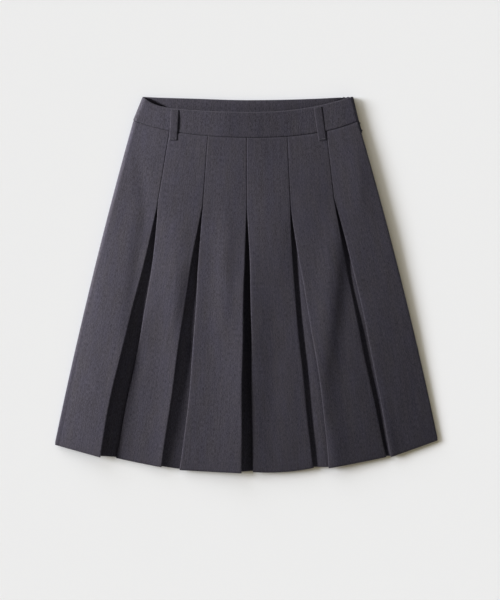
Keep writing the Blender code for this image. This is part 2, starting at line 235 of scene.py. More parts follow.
def all_lines(pleats, place):
    """The x of the left side, every fold line and the right side, as columns."""
    left, right = side_x(place)
    return np.hstack([left, *(line for pleat in pleats for line in fold_lines(pleat, place)), right])


def front_seam_y(x):
    """The y of the front waist seam: a parabola with steeper ends, a little lower at the right."""
    share = x / WAIST_LEFT
    lean = FRONT_SEAM_LEAN * (share - share ** 3)
    return FRONT_SEAM_Y + FRONT_SEAM_RISE * share ** 2 + FRONT_SEAM_ENDS * share ** 4 + lean


def back_seam_y(x):
    """The y of the back waist seam: a parabola."""
    return BACK_SEAM_Y + BACK_SEAM_RISE * (x / WAIST_LEFT) ** 2


def lengthwise(x, pleats, place, seam_y, rise):
    """The y of a grid of points: between the waist seam and the hem, each on its own line.

    A point's line is where its x falls among the sides and the fold lines, counted from the
    left: the sum of the shares of each gap that lie to its left.
    """
    lines = all_lines(pleats, place)
    gaps = np.clip((x[:, :, None] - lines[:, None, :-1])
                   / (lines[:, 1:] - lines[:, :-1])[:, None, :], 0, 1)
    line = gaps.sum(axis=2)
    count = np.arange(lines.shape[1])
    top = seam_y(np.interp(line, count, all_lines(pleats, np.zeros((1, 1)))[0]))
    corners = [y for pleat in pleats for y in pleat[8:10]]
    bottom = np.interp(line, count, [HEM_LEFT_Y, *corners, HEM_RIGHT_Y]) + rise + CLOTH / 2
    panel = np.floor(line / 2).astype(int).clip(0, len(pleats))
    share = np.clip(line - 2 * panel, 0, 1)
    bows = np.array(HEM_BOWS if pleats is PLEATS else HEM_BOWS[::-1])
    bottom = bottom + bows[panel] * 4 * share * (1 - share)
    return blend(top - SEAM_GAP / 2 - CLOTH / 2, bottom, place)


def panel_height(number, x, place):
    """Height of a front panel: a straight line between its edges, a parabola as its crown,
    a bell for each crease, faint slanting waves, and a parabola down to each fold."""
    lines = all_lines(PLEATS, place)
    left, right = lines[:, 2 * number, None], lines[:, 2 * number + 1, None]
    left_edge, right_edge = (table_height(row, place) for row in PANEL_EDGES[number])
    share = np.clip((x - left) / (right - left), 0, 1)
    height = blend(left_edge, right_edge, share)
    height = height + table_height(CROWNS[number], place) * 4 * share * (1 - share)
    for panel, x1, start, x2, end, reach_left, reach_right, rise in CREASES:
        if panel != number:
            continue
        along = np.clip((place - start) / (end - start), 0, 1)
        away = x - blend(x1, x2, along)
        reach = np.where(away < 0, reach_left, reach_right)
        height = height + rise * np.sin(np.pi * along) ** CREASE_FADE * np.exp(-(away / reach) ** 2)
    free = soft_step(*FREED, place)
    wave = sum(strength * np.sin(x / length + place * slant + number * shift)
               for strength, length, slant, shift in WAVES)
    height = height + WAVE_HEIGHT * wave * blend(PRESSED_WAVES, 1, free)
    roll_left, width_left, roll_right, width_right = EDGE_ROLLS[number]
    for depth, width, away in ((roll_left, width_left, x - left), (roll_right, width_right, right - x)):
        height = height - depth / 1000 * free * np.clip(1 - away / width, 0, 1) ** 2
    return height


def underlay_height(number, place):
    """Height of a front pleat's underlay along its left and its right fold."""
    return [table_height(row, place) for row in UNDERLAYS[number]]


PANEL_POINTS = 26           # across the free cloth of a front panel
FOLD_POINTS, RETURN_POINTS, UNDERLAY_POINTS = 7, 5, 16      # round a fold, and across under it
TURN_POINTS = 9             # round the bend at the side seam
CROWDING = 0.6              # of a panel's points towards its folds: 0 is even, 1 is by a cosine


def arc(centre_x, centre_z, radius, first, last, up, count):
    """Points on a circle between two angles in degrees, as columns of x and z."""
    angles = np.radians(np.linspace(first, last, count))
    return centre_x + radius * np.cos(angles), centre_z + up * radius * np.sin(angles)


def side_turn(edge, outward, seam_z, flat_z, up):
    """Cloth from the side seam to the flat: an upright stretch, then a quarter of an ellipse."""
    reach = SIDE_TURN[0] if outward < 0 else SIDE_TURN[1]
    start_z = seam_z + up * (SEAM_GAP + CLOTH) / 2
    bend_z = start_z + up * UPRIGHT
    angles = np.radians(np.linspace(0, 90, TURN_POINTS))
    x = np.hstack([edge, edge - outward * reach * (1 - np.cos(angles))])
    return x, np.hstack([start_z, blend(bend_z, flat_z, np.sin(angles))])


def skirt_grid(pleats, up, place, panel_z, underlay_z, panel_points):
    """Middle surface of the front (up 1) or the back (up -1), and the panel of each column.

    Each row is a cross-section: side turn, panel, pleat, panel and so on. A pleat is half a
    turn at the fold, the return under the panel, half a turn back, the underlay, and the same
    again to the next panel. Points across a panel lie closer together towards its folds.
    """
    left, right = side_x(place)
    seam_z = blend(SEAM_Z[0], SEAM_Z[1], place)
    depth = blend(RETURN_DEPTH[0], RETURN_DEPTH[1], place)
    radius = blend(FOLD_RADIUS[0], FOLD_RADIUS[1], soft_step(*LOOSENED, place))
    inset = CLOTH / 2 + radius
    spread = np.linspace(0, 1, panel_points + 2)[1:-1]
    spread = blend(spread, (1 - np.cos(np.pi * spread)) / 2, CROWDING)
    flat_edge = left + CLOTH / 2 + SIDE_TURN[0]
    turn = side_turn(left + CLOTH / 2, -1, seam_z, panel_z(0, flat_edge, place), up)
    parts = [(*turn, 0.0)]
    owner = [0] * turn[0].shape[1]
    for number in range(len(pleats) + 1):
        start = parts[-1][0][:, -1:]
        if number < len(pleats):
            fold_left, fold_right = fold_lines(pleats[number], place)
            end = fold_left - inset
        else:
            end = right - CLOTH / 2 - SIDE_TURN[1]
        x = blend(start, end, spread)
        parts.append((x, panel_z(number, x, place), 0.0))
        owner += [number] * panel_points
        if number == len(pleats):
            break
        floor_left, floor_right = underlay_z(number, place)
        rise = UNDERLAY_RISE * place
        mate = fold_right + inset
        left_top = panel_z(number, end, place) - up * radius
        right_top = panel_z(number + 1, mate, place) - up * radius
        inner_left, inner_right = fold_left - depth, fold_right + depth
        # The underlay keeps two layers and a fold away from the panels over its ends
        room = up * (2 * radius + 2 * CLOTH)
        low_left = up * np.minimum(up * floor_left, up * (panel_z(number, inner_left, place) - room))
        low_right = up * np.minimum(up * floor_right,
                                    up * (panel_z(number + 1, inner_right, place) - room))
        flat = blend(inner_left, inner_right, np.linspace(0, 1, UNDERLAY_POINTS + 2)[1:-1])
        across = soft_step(0, 1, (flat - fold_left) / (fold_right - fold_left))
        flat_z = (blend(floor_left, floor_right, across)
                  + (low_left - floor_left) * soft_step(fold_left, inner_left, flat)
                  + (low_right - floor_right) * soft_step(fold_right, inner_right, flat))
        back_left = arc(inner_left, low_left + up * radius, radius, 90, 270, up, RETURN_POINTS)
        back_right = arc(inner_right, low_right + up * radius, radius, -90, 90, up, RETURN_POINTS)
        parts += [(*arc(end, left_top, radius, 90, -90, up, FOLD_POINTS), 0.0),
                  (*back_left, rise),
                  (flat, flat_z, rise),
                  (*back_right, rise),
                  (*arc(mate, right_top, radius, 270, 90, up, FOLD_POINTS), 0.0)]
        half = FOLD_POINTS + RETURN_POINTS + UNDERLAY_POINTS // 2
        owner += [number] * half + [number + 1] * half
    turn = side_turn(right - CLOTH / 2, 1, seam_z, panel_z(len(pleats), end, place), up)
    parts.append((turn[0][:, ::-1], turn[1][:, ::-1], 0.0))
    owner += [len(pleats)] * turn[0].shape[1]
    x = np.hstack([part[0] for part in parts])
    z = np.hstack([part[1] for part in parts])
    rise = np.hstack([part[2] + 0 * part[0] for part in parts])
    seam_y, hem_rise = (front_seam_y, 0.0) if up > 0 else (back_seam_y, BACK_HEM_RISE)
    y = lengthwise(x, pleats, place, seam_y, hem_rise) + rise
    return np.stack([x, y, z], axis=2), np.array(owner)


def unit(vectors):
    """The vectors at length 1."""
    return vectors / np.maximum(np.linalg.norm(vectors, axis=-1, keepdims=True), 1e-12)


def in_scene(name, data):
    """A new object that holds a mesh, a light or a camera, linked to the scene."""
    thing = bpy.data.objects.new(name, data)
    bpy.context.scene.collection.objects.link(thing)
    return thing


PATTERN_SHIFT = 0.37        # in metres, so that no two panels show the same stretch of the weave


def cloth_shell(name, grid, above, below, material, owner=None):
    """Closed sheet of cloth from a grid of points through its middle.

    Its faces lie above and below the grid along the surface's normal, and half a round rim
    joins them along the border. The UV map is in metres: across from the middle of the panel
    that owns a column, and down from the first row.
    """
    rows, columns = grid.shape[:2]
    down = unit(np.gradient(grid, axis=0))
    across = unit(np.gradient(grid, axis=1))
    normal = unit(np.cross(down, across))
    above = np.broadcast_to(above, (rows, columns))[..., None]
    below = np.broadcast_to(below, (rows, columns))[..., None]
    upper, lower = grid + normal * above, grid - normal * below

    steps_across = np.linalg.norm(np.diff(grid, axis=1), axis=2)
    run = np.hstack([np.zeros((rows, 1)), np.cumsum(steps_across, axis=1)])
    owner = np.zeros(columns, int) if owner is None else owner
    middles = np.stack([run[:, owner == k].mean(axis=1) for k in range(owner.max() + 1)], axis=1)
    shift = middles[:, owner[:-1]]
    start = PATTERN_SHIFT * owner[:-1]
    u_left, u_right = run[:, :-1] - shift + start, run[:, 1:] - shift + start
    steps_down = np.linalg.norm(np.diff(grid, axis=0), axis=2).mean(axis=1)
    v = -np.concatenate([[0.0], np.cumsum(steps_down)])

    number = np.arange(rows * columns).reshape(rows, columns)
    quads = np.stack([number[:-1, :-1], number[1:, :-1], number[1:, 1:], number[:-1, 1:]], axis=-1)
    quad_u = np.stack([u_left[:-1], u_left[1:], u_right[1:], u_right[:-1]], axis=-1)
    v_upper, v_lower = (np.broadcast_to(row[:, None], u_left[:-1].shape) for row in (v[:-1], v[1:]))
    quad_v = np.stack([v_upper, v_lower, v_lower, v_upper], axis=-1)
    quads, quad_u, quad_v = (part.reshape(-1, 4) for part in (quads, quad_u, quad_v))
    reverse = [0, 3, 2, 1]
    faces = [quads, quads[:, reverse] + rows * columns]
    face_u = [quad_u, quad_u[:, reverse]]
    face_v = [quad_v, quad_v[:, reverse]]

    def border(values):
        """Once round the grid: its first row, last column, last row and first column."""
        return np.concatenate([values[0, :-1], values[:-1, -1], values[-1, :0:-1], values[:0:-1, 0]])

    outward = np.zeros_like(grid)
    outward[0] -= down[0]
    outward[-1] += down[-1]
    outward[:, 0] -= across[:, 0]
    outward[:, -1] += across[:, -1]
    ring = border(number)
    centre, out, up = border((upper + lower) / 2), unit(border(outward)), border(normal)
    radius = border((above + below) / 2)
    points = [upper.reshape(-1, 3), lower.reshape(-1, 3)]
    levels = [ring]
    for degrees in (45, 0, -45):
        angle = np.radians(degrees)
        levels.append(2 * rows * columns + len(ring) * (len(levels) - 1) + np.arange(len(ring)))
        points.append(centre + radius * (np.cos(angle) * out + np.sin(angle) * up))
    levels.append(ring + rows * columns)
    u_first = np.hstack([u_left, u_right[:, -1:]])
    rim_u, rim_v = border(u_first), border(np.broadcast_to(v[:, None], (rows, columns)))
    for high, low in zip(levels[:-1], levels[1:]):
        following = np.roll(high, -1), np.roll(low, -1)
        faces.append(np.stack([high, following[0], following[1], low], axis=-1))
        face_u.append(np.stack([rim_u, np.roll(rim_u, -1), np.roll(rim_u, -1), rim_u], axis=-1))
        face_v.append(np.stack([rim_v, np.roll(rim_v, -1), np.roll(rim_v, -1), rim_v], axis=-1))

    mesh = bpy.data.meshes.new(name)
    mesh.from_pydata(np.vstack(points).tolist(), [], np.vstack(faces).tolist())
    layer = mesh.uv_layers.new(name="cloth")
    pairs = np.stack([np.vstack(face_u).ravel(), np.vstack(face_v).ravel()], axis=-1)
    layer.data.foreach_set("uv", pairs.ravel().astype(np.float32))
    mesh.materials.append(material)
    mesh.shade_smooth()
    return in_scene(name, mesh)


class Suiting:
    """Adds nodes to a cloth material one after another; each method returns an output socket."""

    def __init__(self, name):
        self.material = bpy.data.materials.new(name)
        self.material.use_nodes = True
        tree = self.material.node_tree
        self.new, self.link = tree.nodes.new, tree.links.new
        self.shader = tree.nodes["Principled BSDF"]
        uv = self.new("ShaderNodeUVMap")
        uv.uv_map = "cloth"
        self.uv = uv.outputs["UV"]

    def on_cloth(self, across, along, turn):
        """Where a pattern is on the cloth: turned in radians, then across by along metres a unit."""
        mapping = self.new("ShaderNodeMapping")
        mapping.inputs["Rotation"].default_value = (0, 0, turn)
        mapping.inputs["Scale"].default_value = (1 / across, 1 / along, 1)
        self.link(self.uv, mapping.inputs["Vector"])
        return mapping.outputs["Vector"]

    def noise(self, across, along, detail, turn=0.0):
        """Noise between 0 and 1 whose grains are across by along metres."""
        place = self.on_cloth(across, along, turn)
        noise = self.new("ShaderNodeTexNoise")
        noise.noise_dimensions = "2D"
        noise.inputs["Scale"].default_value = 1.0
        noise.inputs["Detail"].default_value = detail
        self.link(place, noise.inputs["Vector"])
        return noise.outputs["Fac"]

    def ribs(self, pitch, turn):
        """Slightly uneven ribs, pitch metres apart; a tenth of pi gives one rib a unit."""
        place = self.on_cloth(pitch, pitch, turn)
        wave = self.new("ShaderNodeTexWave")
        wave.inputs["Scale"].default_value = np.pi / 10
        wave.inputs["Distortion"].default_value = 0.6
        wave.inputs["Detail"].default_value = 1.0
        wave.inputs["Detail Scale"].default_value = 0.4
        self.link(place, wave.inputs["Vector"])
        return wave.outputs["Fac"]

    def vary(self, start, terms):
        """start plus each socket's distance from a half times its weight."""
        total = None
        for socket, weight in terms:
            node = self.new("ShaderNodeMath")
            node.operation = "MULTIPLY_ADD"
            self.link(socket, node.inputs[0])
            node.inputs[1].default_value = weight
            if total is None:
                node.inputs[2].default_value = start - 0.5 * sum(w for _, w in terms)
            else:
                self.link(total, node.inputs[2])
            total = node.outputs[0]
        return total

    def mix(self, share, first, second):
        """A mix of two colours; the socket share runs from the first to the second."""
        node = self.new("ShaderNodeMix")
        node.data_type = "RGBA"
        self.link(share, node.inputs[0])
        node.inputs[6].default_value = (*first, 1.0)
        node.inputs[7].default_value = (*second, 1.0)
        return node.outputs[2]

    def scale(self, colour, factor):
        """A colour socket times a number socket."""
        node = self.new("ShaderNodeVectorMath")
        node.operation = "SCALE"
        self.link(colour, node.inputs[0])
        self.link(factor, node.inputs["Scale"])
        return node.outputs[0]


def suiting_material(name, violet, brown, strength=1.0):
    """Charcoal melange twill: two close greys in soft patches, warp streaks and twill ribs."""
    cloth = Suiting(name)
    patches = cloth.noise(across=0.016, along=0.060, detail=2.0)
    fine_streaks = cloth.noise(across=0.0012, along=0.0050, detail=1.5)
    long_streaks = cloth.noise(across=0.0026, along=0.045, detail=1.0)
    specks = cloth.noise(across=0.0008, along=0.0009, detail=0.5)
    ribs = cloth.ribs(pitch=0.0011, turn=0.9)
    colour = cloth.mix(cloth.vary(0.5, [(patches, 2.0)]), brown, violet)
    amount = cloth.vary(1.0, [(fine_streaks, 1.15 * strength), (long_streaks, 0.42 * strength),
                              (specks, 1.35 * strength), (ribs, 0.12)])
    cloth.link(cloth.scale(colour, amount), cloth.shader.inputs["Base Color"])
    cloth.link(cloth.vary(0.84, [(specks, 0.20)]), cloth.shader.inputs["Roughness"])
    height = cloth.vary(0.5, [(ribs, 0.5), (fine_streaks, 0.6), (specks, 0.5)])
    bump = cloth.new("ShaderNodeBump")
    bump.inputs["Strength"].default_value = 0.5
    bump.inputs["Distance"].default_value = 0.0004
    cloth.link(height, bump.inputs["Height"])
    cloth.link(bump.outputs["Normal"], cloth.shader.inputs["Normal"])
    cloth.shader.inputs["Specular IOR Level"].default_value = 0.2
    cloth.shader.inputs["Sheen Weight"].default_value = 0.12
    cloth.shader.inputs["Sheen Roughness"].default_value = 0.45
    cloth.shader.inputs["Sheen Tint"].default_value = (0.86, 0.84, 0.95, 1.0)
    return cloth.material


def rows_through(*runs):
    """Places down a piece: runs with their start, end and count, each one's end the next's start."""
    return np.concatenate([*(np.linspace(*run)[:-1] for run in runs), [runs[-1][1]]])


SKIRT_VIOLET, SKIRT_BROWN = (0.0560, 0.0512, 0.0700), (0.0578, 0.0520, 0.0640)
SKIRT_LENGTH = 0.55         # from the waist seam to the hem, round figure
HEM_EDGE = 0.002            # over this length the turned-up layer's edge shows as a soft step
FRONT_ROWS = ((0, 0.19, 22), (0.19, 0.27, 13), (0.27, 0.94, 62), (0.94, 1.0, 10))

skirt_cloth = suiting_material("skirt_suiting", SKIRT_VIOLET, SKIRT_BROWN)
front_place = rows_through(*FRONT_ROWS)[:, None]
front_grid, front_owner = skirt_grid(PLEATS, 1, front_place, panel_height, underlay_height,
                                     PANEL_POINTS)
hem_share = soft_step(1 - (HEM_DEPTH + HEM_EDGE) / SKIRT_LENGTH, 1 - HEM_DEPTH / SKIRT_LENGTH,
                      front_place)
front = cloth_shell("front", front_grid, CLOTH / 2, CLOTH / 2 + HEM_EXTRA * hem_share,
                    skirt_cloth, front_owner)
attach(front, "root")
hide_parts("skirt_front")

# ---------------------------------------------------------------------------------------------
# Back of the skirt: the same cloth and the same five pleats as the front, lying face down on
# the table under the front. Its panels are pressed flat by the weight above them.

BACK_Z = CLOTH / 2 + 0.00005        # its outer face lies a hair above the table
BACK_LAYERS = 0.0032        # from a back panel up to its pleats' underlays
BAND_LIFT = 0.0018          # the waistband's thickness lifts the back at its seam
LIFT_ENDS = (0.035, 0.10)   # the lift goes back to nothing between these places
BACK_SWELL = 0.00045        # how far the free panels rise off the table
SWELL_STARTS = (0.3, 0.7)
SWELL_WAVE = (11, 2.3)      # its sine wave down the panel, and its shift from panel to panel
BACK_PANEL_POINTS = 20
BACK_ROWS = ((0, 0.30, 22), (0.30, 0.94, 42), (0.94, 1.0, 8))


def back_lift(place):
    """The back rises in a smooth step to the waistband that it is sewn to."""
    return BACK_Z + BAND_LIFT * (1 - soft_step(*LIFT_ENDS, place))


def back_height(number, x, place):
    """Height of a back panel: on the table, with faint long waves between its pleats."""
    lines = all_lines(BACK_PLEATS, place)
    left, right = lines[:, 2 * number, None], lines[:, 2 * number + 1, None]
    share = np.clip((x - left) / (right - left), 0, 1)
    waves = 0.5 + 0.5 * np.sin(place * SWELL_WAVE[0] + number * SWELL_WAVE[1])
    swell = BACK_SWELL * soft_step(*SWELL_STARTS, place) * waves * np.sin(np.pi * share) ** 2
    return back_lift(place) + swell


def back_underlay(number, place):
    """Height of a back pleat's underlay along both folds, above the folded cloth."""
    return [back_lift(place) + BACK_LAYERS] * 2


back_place = rows_through(*BACK_ROWS)[:, None]
back_grid, back_owner = skirt_grid(BACK_PLEATS, -1, back_place, back_height, back_underlay,
                                   BACK_PANEL_POINTS)
back = cloth_shell("back", back_grid, CLOTH / 2, CLOTH / 2, skirt_cloth, back_owner)
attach(back, "root")
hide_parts("skirt_back")

# ---------------------------------------------------------------------------------------------
# Waistband, front and back: the same cloth, doubled over a woven stiffener and shaped to the
# waist. The front's top edge dips in the middle and shows the inside of the back.

BAND = 0.0025               # two layers with the stiffener
BAND_FRONT_Z = 0.0116
BAND_BACK_Z = 0.00305
BACK_CURL = 0.0034          # how far the back waistband's top edge curls up
CURL_ENDS = (0.006, 0.030)  # the zip holds the curl down at its side, and lets go between these
FRONT_TOP_Y, FRONT_TOP_RISE = 0.2838, 0.0257
# Both halves of the front's top edge: share of the rise that is gentle, its power, and the power
# of the rest
FRONT_TOP_LEFT = (0.42, 2.0, 10.0)
FRONT_TOP_RIGHT = (1.00, 2.3, 1.0)
BACK_TOP_Y, BACK_TOP_RISE, BACK_TOP_BULGE = 0.3043, 0.0055, 0.0010
TOP_LEFT, TOP_RIGHT = -0.1715, 0.1742
BAND_ROWS = np.linspace(1, 0, 17)[:, None]
BAND_COLUMNS = 240
PUCKER, PUCKER_LENGTH = 0.0006, 0.0011      # the zip draws up the top edge at the right end
PUCKER_STARTS = (0.88, 0.93)
BAND_WAVES = ((0.016, 1.9), (0.0271, -1.0))     # length and slant
# Low swells of the front waistband: x, reach to the left and right, and height
BAND_SWELLS = ((-0.045, 0.160, 0.095, 0.0055), (-0.032, 0.030, 0.010, 0.0006),
               (0.178, 0.055, 0.030, 0.0048))
# The waistband's two tones are the skirt's suiting, painted a little darker as shade on the band
BAND_SHADED_VIOLET, BAND_SHADED_BROWN = (0.0533, 0.0487, 0.0664), (0.0549, 0.0494, 0.0610)
BAND_STRENGTH = 1.25        # of its streaks and specks, against the skirt's

band_cloth = suiting_material("waistband_suiting_shaded", BAND_SHADED_VIOLET, BAND_SHADED_BROWN, BAND_STRENGTH)


def front_top_y(share):
    """The front's top edge: its rise is a sum of two powers of the distance from the middle."""
    distance = np.abs(share)
    rises = [gentle * distance ** power + (1 - gentle) * distance ** steep_power
             for gentle, power, steep_power in (FRONT_TOP_LEFT, FRONT_TOP_RIGHT)]
    return FRONT_TOP_Y + FRONT_TOP_RISE * np.where(share < 0, *rises)


def back_top_y(share):
    """The back's top edge: a parabola, with a low bulge of one cosine wave on its left half."""
    bulge = BACK_TOP_BULGE * (1 - np.cos(2 * np.pi * np.minimum(share, 0))) / 2
    return BACK_TOP_Y + BACK_TOP_RISE * share ** 2 + bulge


def front_band_z(x, height):
    """The front waistband: bell-shaped swells and two faint slanting waves over a level."""
    wave = sum(np.sin(x / length + height * slant) for length, slant in BAND_WAVES)
    z = BAND_FRONT_Z + WAVE_HEIGHT * wave
    for middle, reach_left, reach_right, rise in BAND_SWELLS:
        z = z + rise * np.exp(-((x - middle) / np.where(x < middle, reach_left, reach_right)) ** 2)
    return z


def back_band_z(x, height):
    """The back waistband: its lower half is level and its upper half curls up by a quarter of a
    sine wave, less and less towards the zip."""
    curl = np.sin(np.pi * np.clip(height - 0.5, 0, 0.5))
    held, free = (TOP_RIGHT - end for end in CURL_ENDS)
    return BAND_BACK_Z + BACK_CURL * curl * soft_step(held, free, x)


def band_grid(up, height):
    """Middle surface of a waistband: side turns at both ends and its own run between them."""
    seam_y, top_y, band_z = ((front_seam_y, front_top_y, front_band_z) if up > 0
                             else (back_seam_y, back_top_y, back_band_z))
    left = blend(WAIST_LEFT, TOP_LEFT, height) + BAND / 2
    right = blend(WAIST_RIGHT, TOP_RIGHT, height) - BAND / 2
    seam_z = SEAM_Z[0] + 0 * height
    left_turn = side_turn(left, -1, seam_z, band_z(left + SIDE_TURN[0], height), up)
    right_turn = side_turn(right, 1, seam_z, band_z(right - SIDE_TURN[1], height), up)
    inner = blend(left_turn[0][:, -1:], right_turn[0][:, -1:],
                  np.arange(1, BAND_COLUMNS) / BAND_COLUMNS)
    x = np.hstack([left_turn[0], inner, right_turn[0][:, ::-1]])
    z = np.hstack([left_turn[1], band_z(inner, height), right_turn[1][:, ::-1]])
    share = blend(-1.0, 1.0, (x - x[:, :1]) / (x[:, -1:] - x[:, :1]))
    low = seam_y(blend(WAIST_LEFT, WAIST_RIGHT, (share + 1) / 2)) + SEAM_GAP / 2 + BAND / 2
    pucker = PUCKER * np.sin(x / PUCKER_LENGTH) * soft_step(*PUCKER_STARTS, share)
    return np.stack([x, blend(low, top_y(share) + pucker - BAND / 2, height), z], axis=2)


for name, up in (("waistband_front", 1), ("waistband_back", -1)):
    band = cloth_shell(name.replace("waistband", "band"), band_grid(up, BAND_ROWS),
                       BAND / 2, BAND / 2, band_cloth)
    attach(band, "root")
    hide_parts(name)

# ---------------------------------------------------------------------------------------------
# Belt loops: strips of the same cloth folded in three and stitched flat. Two cross the front
# waistband and bow away from it, one wraps the right-hand side, and two lie under the back.

LOOP = 0.0010               # its three pressed layers, as they lie
LOOP_WIDTH = 0.0128
LOOP_GAP = 0.0001           # between a loop and what it lies on
LOOP_HOLLOW = 0.0001        # how far a front loop's long edges dip
LOOP_COLUMNS = 13
FRONT_LOOP_ROWS, BACK_LOOP_ROWS = 41, 13
JUST_BELOW = 0.01           # the place on a panel where a front loop's lower end lies
LOOP_STEP = 0.08            # share of a front loop that steps down from the waistband to the panel
BOW_BEYOND, BOW_POWER = 0.1, 0.8    # its bow ends this share below the seam, and fills quickly
# The loops' two tones are the skirt's suiting, painted darker as shade on the loops
LOOP_SHADED_VIOLET, LOOP_SHADED_BROWN = (0.0505, 0.0461, 0.0624), (0.0520, 0.0466, 0.0575)
FRONT_LOOPS = (
    # name, top x, top y, bottom x, bottom y, how far it stands off, the panel below it
    ("belt_loop_front_left", -0.1178, 0.2874, -0.1207, 0.2378, 0.0009, 1),
    ("belt_loop_front_right", 0.1172, 0.2917, 0.1249, 0.2374, 0.0001, 4),
)
BACK_LOOPS = (
    ("belt_loop_side_left", -0.1560, 0.3070, -0.1600, 0.2530),
    ("belt_loop_back", 0.0000, 0.3035, 0.0000, 0.2490),
)

loop_cloth = suiting_material("loop_suiting_shaded", LOOP_SHADED_VIOLET, LOOP_SHADED_BROWN)


def strip_grid(start, end, width, heights, hollow=0.0):
    """A straight strip between two points, with a height for each row; its long edges dip by the
    fourth power of the distance from its middle."""
    start, end = np.array(start), np.array(end)
    along = (end - start) / np.linalg.norm(end - start)
    side = np.array([-along[1], along[0]])
    share = np.linspace(0, 1, len(heights))[:, None, None]
    offset = np.linspace(-0.5, 0.5, LOOP_COLUMNS)[None, :, None]
    flat = start + (end - start) * share + side * offset * (width - LOOP)
    z = heights[:, None] - hollow * (2 * offset[..., 0]) ** 4
    return np.dstack([flat, z])


front_loop_grids = {}
for name, top_x, top_y, bottom_x, bottom_y, stand, panel in FRONT_LOOPS:
    share = np.linspace(0, 1, FRONT_LOOP_ROWS)
    seam_share = (top_y - front_seam_y(bottom_x)) / (top_y - bottom_y)
    on_band = front_band_z(top_x, 0.5) + BAND / 2
    panel_z = panel_height(panel, np.array([[bottom_x]]), np.array([[JUST_BELOW]]))[0, 0]
    on_skirt = panel_z + CLOTH / 2
    rest = blend(on_band, on_skirt, soft_step(seam_share, seam_share + LOOP_STEP, share))
    bow = stand * np.sin(np.pi * np.clip(share / (seam_share + BOW_BEYOND), 0, 1)) ** BOW_POWER
    heights = rest + LOOP_GAP + LOOP / 2 + bow
    front_loop_grids[name] = strip_grid((top_x, top_y), (bottom_x, bottom_y), LOOP_WIDTH, heights,
                                        LOOP_HOLLOW)
    loop = cloth_shell(name.replace("belt_loop", "loop"), front_loop_grids[name],
                       LOOP / 2, LOOP / 2, loop_cloth)
    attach(loop, "root")
    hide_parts(name)

for name, top_x, top_y, bottom_x, bottom_y in BACK_LOOPS:
    strip = strip_grid((top_x, top_y), (bottom_x, bottom_y), LOOP_WIDTH,
                       np.full(BACK_LOOP_ROWS, LOOP / 2))
    loop = cloth_shell(name.replace("belt_loop", "loop"), strip, LOOP / 2, LOOP / 2, loop_cloth)
    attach(loop, "root")
    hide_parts(name)

ROUND_GAP = 0.0002          # between pieces that wrap round the side on each other
SIDE_LOOP = (0.98, -0.018)  # its ends: a share of the waistband, and metres below its seam
SIDE_LOOP_TURNS = ((30, 0, 6), (0, 90, 12))     # degrees over and under the seam, and points
SIDE_LOOP_INWARD = 0.0006   # how far it lies flat on the back
LEAST_REACH = 0.0012        # of a strip inside the side seam, where the bend leaves no room


def side_line(height):
    """The right side's x and y at a share of the waistband, or metres below its seam."""
    seam_y = front_seam_y(WAIST_RIGHT)
    below = side_x(np.clip(-height, 0, None) / (seam_y - HEM_RIGHT_Y))[1]
    x = np.where(height >= 0, blend(WAIST_RIGHT, TOP_RIGHT, height), below)
    return x, np.where(height >= 0, blend(seam_y, back_top_y(1.0), height), seam_y + height)


def side_strip(heights, offset, inward, turns):
    """A strip round the right-hand side, offset out from the waistband's middle surface.

    Each row is a stretch of two quarters of an ellipse, over and under the seam; its turns are
    the degrees from and to, and the count of points, of both. The lower one goes on flat, inward
    by so much, and so does the upper one if it turns the whole quarter.
    """
    front_angles, back_angles = (np.radians(np.linspace(*turn)) for turn in turns)
    front_z, back_z = SEAM_Z[0] + UPRIGHT, SEAM_Z[0] - UPRIGHT
    flat_z = front_band_z(WAIST_RIGHT, 0.0)
    reach = max(SIDE_TURN[1] + offset, LEAST_REACH)
    out = reach * np.cos(np.concatenate([front_angles, back_angles]))
    z = np.concatenate([front_z + (flat_z + offset - front_z) * np.sin(front_angles),
                        back_z - (back_z - BAND_BACK_Z + offset) * np.sin(back_angles)])
    flat = np.linspace(inward, 0, 5)[:-1]
    if turns[0][0] == 90:
        out = np.concatenate([out[0] - flat, out])
        z = np.concatenate([z[0] + 0 * flat, z])
    out = np.concatenate([out, out[-1] - flat[::-1]])
    z = np.concatenate([z, z[-1] + 0 * flat])
    edge, y = side_line(heights[:, None])
    x = edge - BAND / 2 + offset - reach + out
    return np.stack([x, y + 0 * x, z + 0 * x], axis=2)


side_rows = rows_through((SIDE_LOOP[0], 0, 14), (0, SIDE_LOOP[1], 9))
side_loop_grid = side_strip(side_rows, BAND / 2 + ROUND_GAP + LOOP / 2, SIDE_LOOP_INWARD,
                            SIDE_LOOP_TURNS)
side_loop = cloth_shell("loop_side_right", side_loop_grid, LOOP / 2, LOOP / 2, loop_cloth)
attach(side_loop, "root")
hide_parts("belt_loop_side_right")

TACK_STITCHES = 22          # satin stitches side by side in one bar tack
TACK_INSET = 0.3            # from the loop's long edges to its first and last stitch, in columns
TACK_HALF = 0.0008          # half a stitch's length
TACK_THREAD = 0.00020       # thread's half thickness
SIDE_THREAD = 0.0009        # the side loop's coarser tacks
TACK_ENDS = (0.0022, 0.0020)        # a tack's distance from the loop's top and bottom end
SIDE_TACKS = (-0.0030, -0.0150)     # metres below the waistband's seam
SIDE_TACK_TURNS = ((40, 0, 5), (0, 50, 7))
RINGS, RING_POINTS = 5, 8           # of one stitch
RING_DEGREES = (30, 150)            # its first and last ring, seen from its middle
THREAD_DARK, THREAD_PALE = (0.038, 0.035, 0.047), (0.054, 0.049, 0.064)


